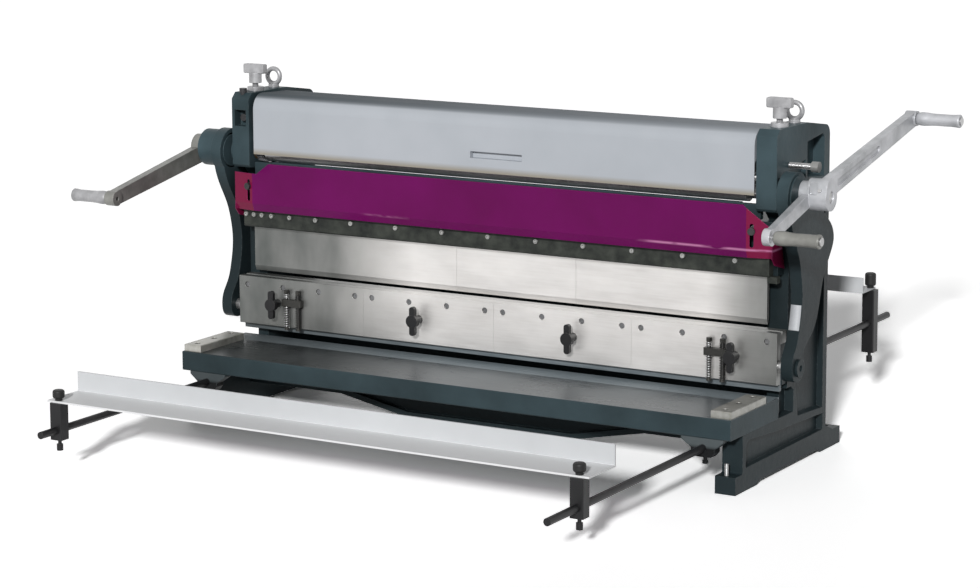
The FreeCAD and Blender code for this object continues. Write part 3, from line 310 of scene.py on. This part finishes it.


# flat paint on folded sheet: almost even, with a faint ripple; where the look says so it has painted
# light past the bends and on the shelf, another tint along the hem, painted shade and a painted dark
# reflection on the roof, and a painted highlight along a fold; the lighter line on every rounded edge is
# a painted highlight
def sheetPaint(name, look):
    paint = Finish(name)
    soft, roundedEdges = paint.corners(look["corner"])
    tone = paint.blend(paint.noise("sheetCloud"), look["dark"], look["light"])
    # the wing tint past the bends is painted light: the same paint, facing the light another way
    if "wing" in look:
        wings = (paint.axis("X") > look["bend"]) | (paint.axis("X") < -look["bend"])
        tone = paint.blend(wings, tone, look["wing"])
    # the shelf's lighter tone is painted light on its upward face
    if "shelf" in look:
        tone = paint.blend(paint.axis("Z") < look["shelfTop"], tone, look["shelf"])
    if "hem" in look:
        low = paint.ramp(paint.axis("Z"), (look["hemFrom"], 1.0), (look["hemTo"], 0.0))
        tone = paint.blend(low * sway["hem"], tone, look["hem"])
    rough = look["rough"] + (paint.noise("sheetHaze") - 0.5) * sway["sheetRough"]
    coat = look["coat"]
    # the top takes a darker tone, stronger to the left: painted shade and a painted dark reflection; it
    # is also rougher and loses its coat
    if "roof" in look:
        high = paint.ramp(paint.axis("Z"), (look["roofFrom"], 0.0), (look["roofTo"], 1.0))
        tone = paint.blend(high * paint.along(*look["roofAlong"]), tone, look["roof"])
        rough = rough + high * sway["roofRough"]
        coat = (1 - high) * coat
    # a pale speckled line along the fold: a painted highlight
    if "foldHighlight" in look:
        below, above = look["fold"] - look["foldReach"], look["fold"] + look["foldReach"]
        fold = paint.ramp(paint.axis("Z"), (below, 0.0), (look["fold"], 1.0), (above, 0.0))
        foldGlint = fold * paint.noise("foldGlint") * paint.along(*look["foldHighlightAlong"])
        tone = paint.blend(foldGlint, tone, look["foldHighlight"])
    # a lighter line along every rounded edge: a painted highlight
    tone = paint.blend(roundedEdges * look["wearAndHighlight"], tone, look["edge"])
    normal = paint.bumps(paint.noise("sheetRipple"), look["ripple"], relief["ripple"], soft)
    normal = paint.bumps(paint.noise("orangePeel"), relief["peelStrength"], relief["peel"], normal)
    return paint.surface(color=tone, rough=rough, normal=normal, specular=look["specular"], coat=coat,
                         coatRough=look["coatRough"])


# machined metal with fine marks drawn along one axis, and a painted dark reflection where its shade says
# so
def machined(metal, look):
    soft, roundedEdges = metal.corners(look["corner"])
    lines = metal.noise("metalLines", scale=look["lines"], stretch=look["stretch"])
    cloud = metal.noise("metalCloud")
    tone = metal.blend(cloud, look["dark"], look["light"])
    tone = metal.blend(metal.ramp(lines, *lineStops) * sway["metalLines"], tone, look["line"])
    if "shade" in look:
        # a dark patchy tone where the shade says so: a painted dark reflection
        tone = metal.blend(metal.along(*look["shade"]) * metal.noise("darkReflection"), tone, look["darkReflection"])
    # rounded edges lean to the metal's light tone
    tone = metal.blend(roundedEdges * sway["metalEdgeTone"], tone, look["light"])
    rough = look["rough"] + (lines - 0.5) * sway["metalRough"] + cloud * look["smear"]
    return tone, rough, metal.bumps(lines, look["depth"], relief["lines"], soft)


def brushed(name, look):
    metal = Finish(name)
    tone, rough, normal = machined(metal, look)
    return metal.surface(color=tone, rough=rough, normal=normal, metal=look["metal"])


# metal and paint on one piece, the metal where part is 1
def metalAndPaint(name, metalLook, paintLook, part):
    both = Finish(name)
    bright = part(both)
    tone, rough, normal = machined(both, metalLook)
    paintTone, paintRough, paintNormal = castSkin(both, paintLook)
    return both.surface(color=both.blend(bright, paintTone, tone),
                        rough=bright * rough + (1 - bright) * paintRough,
                        normal=both.blendNormals(bright, paintNormal, normal),
                        metal=bright * metalLook["metal"], specular=paintLook["specular"])


# castings: the bigger cloud, grain and lump are, the finer the pattern
bodyPaint = {
    "dark": screen(38, 49, 52), "light": screen(70, 87, 93), "bare": screen(125, 135, 136), "wearAndHighlight": 0.5,
    "cloud": 4.0, "grain": 420.0, "lump": 38.0, "grainStrength": 0.28, "lumpStrength": 0.34,
    "rough": 0.38, "specular": 0.10, "corner": 0.0018,
    # the darker tone low down, from deepHigh to deepLow, is painted shade on the lower parts
    "deep": screen(25, 32, 34), "depth": 0.82, "deepLow": 0.50, "deepHigh": 0.60,
}
# on the rod clamps the low tone is their own black below the flare, a sharp line
clampPaint = dict(bodyPaint, dark=screen(58, 64, 66), light=screen(88, 95, 97),
                  deep=screen(24, 25, 26), depth=1.0, deepLow=0.098, deepHigh=0.104)
clampBarPaint = {
    "dark": screen(22, 25, 24), "light": screen(60, 63, 58), "bare": screen(120, 124, 118), "wearAndHighlight": 0.6,
    "cloud": 34.0, "grain": 380.0, "lump": 55.0, "grainStrength": 0.35, "lumpStrength": 0.35,
    "rough": 0.45, "specular": 0.2, "corner": 0.0012,
}
crankLook = {
    "dark": screen(164, 166, 169), "light": screen(202, 203, 207), "bare": screen(222, 222, 225),
    "wearAndHighlight": 0.6, "cloud": 22.0, "grain": 300.0, "lump": 60.0, "grainStrength": 0.35, "lumpStrength": 0.4,
    "rough": 0.36, "specular": 0.5, "metal": 0.25, "corner": 0.0018,
}
# a darker copy of the crank finish: painted shade on the left crank and the short grip
leftCrankLook = dict(crankLook, dark=screen(112, 112, 108), light=screen(146, 146, 141),
                     bare=screen(195, 195, 192))
brightCasting = {
    "dark": screen(140, 140, 142), "light": screen(188, 188, 190), "bare": screen(222, 222, 222),
    "wearAndHighlight": 0.6, "cloud": 30.0, "grain": 300.0, "lump": 70.0, "grainStrength": 0.3, "lumpStrength": 0.3,
    "rough": 0.34, "specular": 0.5, "metal": 0.3, "corner": 0.0014,
}
darkScrews = {
    "dark": screen(26, 26, 27), "light": screen(48, 48, 50), "bare": screen(120, 120, 120), "wearAndHighlight": 0.5,
    "cloud": 60.0, "grain": 500.0, "lump": 90.0, "grainStrength": 0.1, "lumpStrength": 0.1,
    "rough": 0.38, "specular": 0.4, "corner": 0.0005,
}
castings = {
    "clamps": castPaint("clampPaint", clampPaint),
    "body": castPaint("darkCastPaint", bodyPaint),
    "clampBar": castPaint("mottledBarPaint", clampBarPaint),
    "crank": castPaint("bareCrankCasting", crankLook),
    "leftCrank": castPaint("leftCrankCasting", leftCrankLook),
    "bright": castPaint("brightTopCasting", brightCasting),
    "handScrews": castPaint("handScrewCasting", dict(brightCasting, threadTop=0.7578, pitch=0.002)),
}
print("castings painted")

coverPaint = {
    # edge: the lighter tone on the rounded edges is a painted highlight
    "dark": screen(167, 172, 178), "light": screen(179, 183, 189), "edge": screen(206, 210, 214),
    "wearAndHighlight": 0.5, "hem": screen(138, 128, 106), "hemFrom": 0.600, "hemTo": 0.613,
    # roof: the darker top, stronger to the left, is painted shade and a painted dark reflection
    "roof": screen(70, 78, 82), "roofFrom": 0.727, "roofTo": 0.732,
    "roofAlong": ((-0.65, 0.95), (0.65, 0.35)),
    "ripple": 0.10, "rough": 0.34, "specular": 0.2, "coat": 0.2, "coatRough": 0.12, "corner": 0.0012,
}
stopPaint = {
    # edge: a painted highlight on the rounded edges
    "dark": screen(190, 192, 194), "light": screen(204, 206, 208), "edge": screen(206, 208, 210),
    # shelf: a lighter tone on the upward shelf, painted light
    "wearAndHighlight": 0.3, "shelf": screen(228, 229, 230), "shelfTop": 0.1625,
    "ripple": 0.06, "rough": 0.5, "specular": 0.3, "coat": 0.0, "coatRough": 0.4, "corner": 0.0010,
}
guardPaint = {
    # edge: a pink painted highlight along the rounded edges
    "dark": screen(92, 4, 72), "light": screen(107, 7, 88), "edge": screen(196, 70, 150), "wearAndHighlight": 0.7,
    # wing: the redder tint past the bends is painted light on the same paint
    "wing": screen(120, 22, 62), "bend": 0.632,
    # the pale line along the fold is a painted highlight
    "foldHighlight": screen(236, 160, 206), "fold": 0.485, "foldReach": 0.0016,
    "foldHighlightAlong": ((-0.34, 0.0), (-0.26, 0.8), (-0.20, 0.0), (0.36, 0.0), (0.42, 1.0), (0.62, 0.95)),
    "ripple": 0.16, "rough": 0.2, "specular": 0.08, "coat": 0.06, "coatRough": 0.05, "corner": 0.0012,
}
# the edge tones of the black steel and of the knobs are painted highlights on the rounded edges
blackSteel = {
    "dark": screen(20, 20, 21), "light": screen(31, 31, 33), "edge": screen(92, 92, 92), "wearAndHighlight": 0.5,
    "ripple": 0.05, "rough": 0.42, "specular": 0.3, "coat": 0.0, "coatRough": 0.3, "corner": 0.0010,
}
knobPlastic = {
    "dark": screen(22, 22, 22), "light": screen(30, 30, 30), "edge": screen(50, 50, 50), "wearAndHighlight": 0.4,
    "ripple": 0.02, "rough": 0.5, "specular": 0.3, "coat": 0.0, "coatRough": 0.3, "corner": 0.0012,
}
paints = {
    "cover": sheetPaint("coverGreyPaint", coverPaint),
    "stop": sheetPaint("stopGreyPaint", stopPaint),
    "guard": sheetPaint("guardMagentaPaint", guardPaint),
    "black": sheetPaint("blackenedSteel", blackSteel),
    "knob": sheetPaint("blackKnobPlastic", knobPlastic),
}
print("sheets painted")

platesLook = {
    "dark": screen(204, 201, 198), "light": screen(232, 229, 226), "line": screen(238, 237, 236),
    "lines": 240.0, "stretch": (0.05, 1.0, 1.0), "smear": 0.14, "rough": 0.34, "depth": 0.16,
    # the dark tone towards both ends is a painted dark reflection
    "metal": 0.7, "corner": 0.0008, "darkReflection": screen(84, 88, 86),
    "shade": ((-0.70, 1.0), (-0.44, 0.9), (-0.22, 0.0), (0.52, 0.0), (0.62, 0.75), (0.70, 0.95)),
}
# the gauges keep a faint share of the painted dark reflection, rising to the right
gaugesLook = dict(platesLook, dark=screen(126, 126, 118), light=screen(192, 190, 182), lines=70.0,
                  stretch=(1.0, 1.0, 1.0), shade=((-0.7, 0.1), (0.7, 0.3)))
tableLook = {
    "dark": screen(98, 104, 108), "light": screen(132, 138, 141), "line": screen(150, 155, 158),
    "lines": 260.0, "stretch": (0.06, 1.0, 1.0), "smear": 0.16, "rough": 0.24, "depth": 0.15,
    # the dark tone at the left end is a painted dark reflection
    "metal": 0.55, "corner": 0.0010, "darkReflection": screen(38, 43, 43),
    "shade": ((-0.70, 1.0), (-0.40, 0.85), (-0.05, 0.0), (0.70, 0.1)),
}
# the blades' shade is a painted dark reflection too, strongest at the left end
bladeLook = dict(tableLook, metal=0.12, rough=0.42,
                 shade=((-0.70, 0.8), (-0.30, 0.3), (0.0, 0.0), (0.70, 0.2)))
pinsLook = {
    "dark": screen(150, 150, 150), "light": screen(200, 200, 200), "line": screen(220, 220, 220),
    "lines": 500.0, "stretch": (1.0, 1.0, 1.0), "smear": 0.1, "rough": 0.3, "depth": 0.12,
    "metal": 0.9, "corner": 0.0006,
}
bronzeLook = dict(pinsLook, dark=screen(160, 130, 82), light=screen(190, 156, 106),
                  line=screen(205, 172, 120))
darkWireLook = dict(pinsLook, dark=screen(30, 30, 30), light=screen(52, 52, 52), line=screen(80, 80, 80),
                    metal=0.5)
linkPlateLook = dict(pinsLook, dark=screen(160, 163, 167), light=screen(182, 185, 189), metal=0.0,
                     rough=0.5)
holdDownLook = dict(pinsLook, dark=screen(36, 36, 34), light=screen(60, 59, 56), line=screen(96, 95, 92),
                    metal=0.5, rough=0.36)
screwsLook = {
    "dark": screen(120, 120, 118), "light": screen(168, 168, 165), "line": screen(190, 190, 190),
    "lines": 500.0, "stretch": (1.0, 1.0, 1.0), "smear": 0.1, "rough": 0.3, "depth": 0.1,
    "metal": 0.5, "corner": 0.0005,
}

# where a piece of two finishes is bright: edges of the bright part in metres on the machine
brightParts = {
    "rowLow": 0.44,
    "rowHigh": 0.47,
    "rowFront": -0.0702,
    "lockScrew": 0.6962,
    "tableTop": 0.1646,
    "pinShank": 0.7352,
}


# the row of screw heads on the punch clamp, and the lock screw outside the right head
def brightScrews(both):
    row = (both.axis("Z") > brightParts["rowLow"]) * (both.axis("Z") < brightParts["rowHigh"])
    heads = row * (both.axis("Y") < brightParts["rowFront"])
    return heads | (both.axis("X") > brightParts["lockScrew"])


def brightTop(both):
    return both.axis("Z") > brightParts["tableTop"]


def brightShanks(both):
    return (both.axis("X") < brightParts["pinShank"]) * (both.axis("X") > -brightParts["pinShank"])


metals = {
    "plates": brushed("groundPlateSteel", platesLook),
    "upperBlade": brushed("dullBladeSteel", dict(bladeLook, dark=screen(86, 95, 100),
                                                 light=screen(104, 113, 118))),
    # the lower blade's lighter copy of the blade steel is painted light, making up for light its top
    # misses
    "lowerBlade": brushed("litBladeSteel", dict(bladeLook, dark=screen(122, 134, 140),
                                                 light=screen(146, 156, 161))),
    "gauges": brushed("mottledGaugeSteel", gaugesLook),
    "rolls": brushed("turnedRollSteel", dict(pinsLook, stretch=(1.0, 0.05, 0.05))),
    "gears": brushed("oiledGearSteel", dict(pinsLook, dark=screen(118, 118, 122),
                                            light=screen(160, 160, 163))),
    "bronze": brushed("bearingBronze", bronzeLook),
    "springs": brushed("springWire", dict(pinsLook, rough=0.25)),
    "darkSprings": brushed("darkSpringWire", darkWireLook),
    "plate": brushed("blankPlate", linkPlateLook),
    "screws": metalAndPaint("screwSteel", screwsLook, darkScrews, brightScrews),
    "ramScrews": brushed("ramScrewSteel", dict(screwsLook, dark=screen(66, 67, 69),
                                               light=screen(96, 97, 99), metal=0.2)),
    # the table's painted sides lie below the shade line and take 0.40 of the painted shade
    "table": metalAndPaint("planedTable", tableLook, dict(bodyPaint, depth=0.40), brightTop),
    # the painted pin heads lie below the shade line and take the painted shade in full
    "pins": metalAndPaint("ramPinSteel", pinsLook, bodyPaint, brightShanks),
    "holdDowns": brushed("holdDownSteel", holdDownLook),
}
print("metals machined")

dress = {
    castings["body"]: ("side_frame_left", "side_frame_right", "lower_cross_beam", "upper_beam",
                       "rear_cross_members", "link_left", "link_right", "left_hub_housing", "ram_beam",
                       "idler_stud", "eccentrics"),
    castings["clampBar"]: ("punch_clamp_bar",),
    castings["crank"]: ("crank_right", "grip_right"),
    castings["leftCrank"]: ("crank_left", "grip_short"),
    castings["bright"]: ("grip_left", "lifting_eyes", "hand_screw_nuts"),
    castings["handScrews"]: ("hand_screw_left", "hand_screw_right"),
    castings["clamps"]: ("rod_clamps",),
    paints["cover"]: ("roll_cover",),
    paints["stop"]: ("front_stop_angle", "rear_stop_angle"),
    paints["guard"]: ("guard",),
    paints["black"]: ("stop_rods", "front_stop_posts", "rear_stop_posts", "wing_screw_1", "wing_screw_2",
                      "wing_screw_3", "wing_screw_4", "cover_hinge_knuckles"),
    paints["knob"]: ("front_knob_left", "front_knob_right", "rear_knob_left", "rear_knob_right"),
    metals["plates"]: ("ram_plates", "brake_die", "punches"),
    metals["upperBlade"]: ("upper_blade",),
    metals["lowerBlade"]: ("lower_blade",),
    metals["gauges"]: ("side_gauges",),
    metals["rolls"]: ("front_roll", "rear_roll", "upper_roll", "crank_spindles"),
    metals["pins"]: ("ram_pins",),
    metals["table"]: ("shear_table",),
    metals["gears"]: ("front_gear", "rear_gear", "idler_gear", "bearing_blocks"),
    metals["bronze"]: ("roll_bushes",),
    metals["screws"]: ("frame_screws", "guard_mountings"),
    metals["ramScrews"]: ("ram_screws",),
    metals["holdDowns"]: ("hold_downs",),
}
for material, names in dress.items():
    for name in names:
        mesh = nodes[name].data
        mesh.materials.clear()
        mesh.materials.append(material)
print("nodes dressed")


# a closed skin over a grid of points: rows run round the piece and meet, and each end is shut by a fan
def closedSkin(name, grid, material, body):
    rows, columns = grid.shape[:2]
    corner = np.arange(rows * columns).reshape(rows, columns)
    after = np.roll(corner, -1, axis=1)
    sides = np.stack([corner[:-1], after[:-1], after[1:], corner[1:]], -1).reshape(-1, 4)
    first, last = rows * columns, rows * columns + 1
    heads = np.stack([after[0], corner[0], np.full(columns, first)], -1)
    tails = np.stack([corner[-1], after[-1], np.full(columns, last)], -1)
    points = np.vstack([grid.reshape(-1, 3), grid[0].mean(0), grid[-1].mean(0)])
    smooth = np.concatenate([np.ones(len(sides), bool), np.zeros(2 * columns, bool)])
    mesh = bpy.data.meshes.new(name)
    mesh.from_pydata(points.tolist(), [], sides.tolist() + heads.tolist() + tails.tolist())
    mesh.materials.append(material)
    mesh.polygons.foreach_set("use_smooth", smooth)
    piece = bpy.data.objects.new(name, mesh)
    scene.collection.objects.link(piece)
    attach(piece, body)


# springs on the hold-down pins: a small circle carried along a helix round the pin; a pin is its X and
# its metal, a span is a spring's foot, its top and its turns, and steps are counted to the turn
springs = {
    "pins": ((-0.554, "springs"), (-0.522, "darkSprings"), (0.538, "springs"), (0.570, "darkSprings")),
    "pinY": -0.075,
    "spans": ((0.1945, 0.2455, 9), (0.2625, 0.2755, 3)),
    "coil": 0.0058,
    "wire": 0.0012,
    "steps": 20,
    "round": 8,
}
for number, (pinX, metal) in enumerate(springs["pins"]):
    for part, (low, high, turns) in enumerate(springs["spans"]):
        turn = np.linspace(0.0, 2 * math.pi * turns, turns * springs["steps"] + 1)[:, None]
        angle = np.linspace(0.0, 2 * math.pi, springs["round"], endpoint=False)[None, :]
        reach = springs["coil"] + springs["wire"] * np.cos(angle)
        climb = (high - low - 2 * springs["wire"]) * turn / turn[-1]
        rise = low + springs["wire"] + climb + springs["wire"] * np.sin(angle)
        sideways, forward = pinX + reach * np.cos(turn), springs["pinY"] + reach * np.sin(turn)
        coil = np.stack([sideways, forward, rise + 0 * turn], -1)
        closedSkin("hold_down_spring_%d_%d" % (number, part), coil[:, ::-1], metals[metal], "ram")
print("springs wound")

# threads of the stud in the right front foot and of the lock screw in the right head; the lock screw
# lies along X, so its middle is given in Y and Z
footStud = {
    "middle": (0.668, -0.254), "low": 0.030, "high": 0.063,
    "radius": 0.005, "pitch": 0.0015, "depth": 0.0008, "lying": False,
}
lockThread = {
    "middle": (-0.020, 0.660), "low": 0.6952, "high": 0.7470,
    "radius": 0.0067, "pitch": 0.00175, "depth": 0.0007, "lying": True,
}
threadGrid = {"steps": 6, "round": 36}


# a screw thread: a cylinder whose radius rises and falls as a triangle wave that climbs with the angle
def thread(name, shape, body):
    rows = int((shape["high"] - shape["low"]) / shape["pitch"] * threadGrid["steps"]) + 1
    height = np.linspace(shape["low"], shape["high"], rows)[:, None]
    angle = np.linspace(0.0, 2 * math.pi, threadGrid["round"], endpoint=False)[None, :]
    wave = np.abs(2 * ((height / shape["pitch"] - angle / (2 * math.pi)) % 1.0) - 1)
    reach = shape["radius"] - shape["depth"] * wave
    middle = shape["middle"]
    grid = [middle[0] + reach * np.cos(angle), middle[1] + reach * np.sin(angle), height + 0 * angle]
    if shape["lying"]:
        grid = [grid[2], grid[0], grid[1]]
    closedSkin(name, np.stack(grid, -1), metals["springs"], body)


thread("foot_stud", footStud, "machine_base")
thread("lock_screw_thread", lockThread, "machine_base")

# bare plate on the right link's front edge: a thin oblong loop carried up the edge's own curve, which
# is read from the link's points in front of edgeY and between edgeLow and edgeHigh
linkPlate = {
    "low": 0.312, "high": 0.365, "inner": 0.7095, "outer": 0.7335, "sunk": 0.0002, "proud": 0.0009,
    "rows": 24, "edgeY": -0.028, "edgeLow": 0.29, "edgeHigh": 0.40,
}
link = nodes["link_right"].data
linkPoints = np.empty(len(link.vertices) * 3)
link.vertices.foreach_get("co", linkPoints)
linkPoints = linkPoints.reshape(-1, 3)
inFront = linkPoints[:, 1] < linkPlate["edgeY"]
inSpan = (linkPoints[:, 2] > linkPlate["edgeLow"]) & (linkPoints[:, 2] < linkPlate["edgeHigh"])
edge = linkPoints[inFront & inSpan]
edge = edge[np.argsort(edge[:, 2])]
height = np.linspace(linkPlate["low"], linkPlate["high"], linkPlate["rows"])
depth = np.interp(height, edge[:, 2], edge[:, 1])[:, None]
inner, outer, sunk, proud = [linkPlate[key] for key in ("inner", "outer", "sunk", "proud")]
across = np.array([inner, outer, outer, inner])[None, :]
lift = np.array([sunk, sunk, -proud, -proud])[None, :]
plate = np.stack([across + 0 * depth, depth + lift, height[:, None] + 0 * across], -1)
closedSkin("link_plate", plate[:, ::-1], metals["plate"], "ram")
print("stud, threads and plate made")

# colours show as written at level 1; the floor is whiter to the eye than in the light it throws back
studio = {
    "floorSize": 60.0,
    "floorPlain": 0.72,
    "floorSeen": 2.02,
    "dustPlain": 0.6,
    "dustSeen": 1.3,
    "dust": 0.04,
    "floorRough": 0.9,
    "sky": 0.14,
    "white": 1.0,
    # of each lamp: where its light comes from, its width in degrees, its level, and if metal shows it
    "lamps": (((0.303, -0.880, 0.365), 5.0, 0.96, True), ((-0.56, 0.82, 0.12), 30.0, 0.40, False)),
}
scene.view_settings.view_transform = "Standard"
world = bpy.data.worlds.new("studio")
scene.world = world
world.use_nodes = True
sky = Graph(world.node_tree)
background = sky.tree.nodes["Background"]
sky.feed(background.inputs["Color"], (1.0, 1.0, 1.0, 1.0))
sky.feed(background.inputs["Strength"], studio["sky"] + sky.seen() * (studio["white"] - studio["sky"]))

half = studio["floorSize"] / 2
floorMesh = bpy.data.meshes.new("floor")
floorCorners = [(-half, -half, 0.0), (half, -half, 0.0), (half, half, 0.0), (-half, half, 0.0)]
floorMesh.from_pydata(floorCorners, [], [(0, 1, 2, 3)])
floor = bpy.data.objects.new("floor", floorMesh)
scene.collection.objects.link(floor)
pale = Finish("paleFloor")
dust = pale.noise("dust") * studio["dust"]
plain = pale.blend(dust, (studio["floorPlain"],) * 3, (studio["dustPlain"],) * 3)
white = pale.blend(dust, (studio["floorSeen"],) * 3, (studio["dustSeen"],) * 3)
pale.surface(color=pale.blend(pale.seen(), plain, white), rough=studio["floorRough"], specular=0.0)
floorMesh.materials.append(pale.material)
print("floor laid")

for number, (towards, width, level, glint) in enumerate(studio["lamps"]):
    lampData = bpy.data.lights.new("lamp%d" % number, "SUN")
    lampData.angle = math.radians(width)
    lampData.energy = level * math.pi
    lamp = bpy.data.objects.new("lamp%d" % number, lampData)
    lamp.visible_glossy = glint
    scene.collection.objects.link(lamp)
    pan = math.atan2(towards[0], -towards[1])
    tilt = math.atan2(math.hypot(towards[0], towards[1]), towards[2])
    lamp.matrix_world = Matrix.Rotation(pan, 4, "Z") @ Matrix.Rotation(tilt, 4, "X")
print("studio lit")
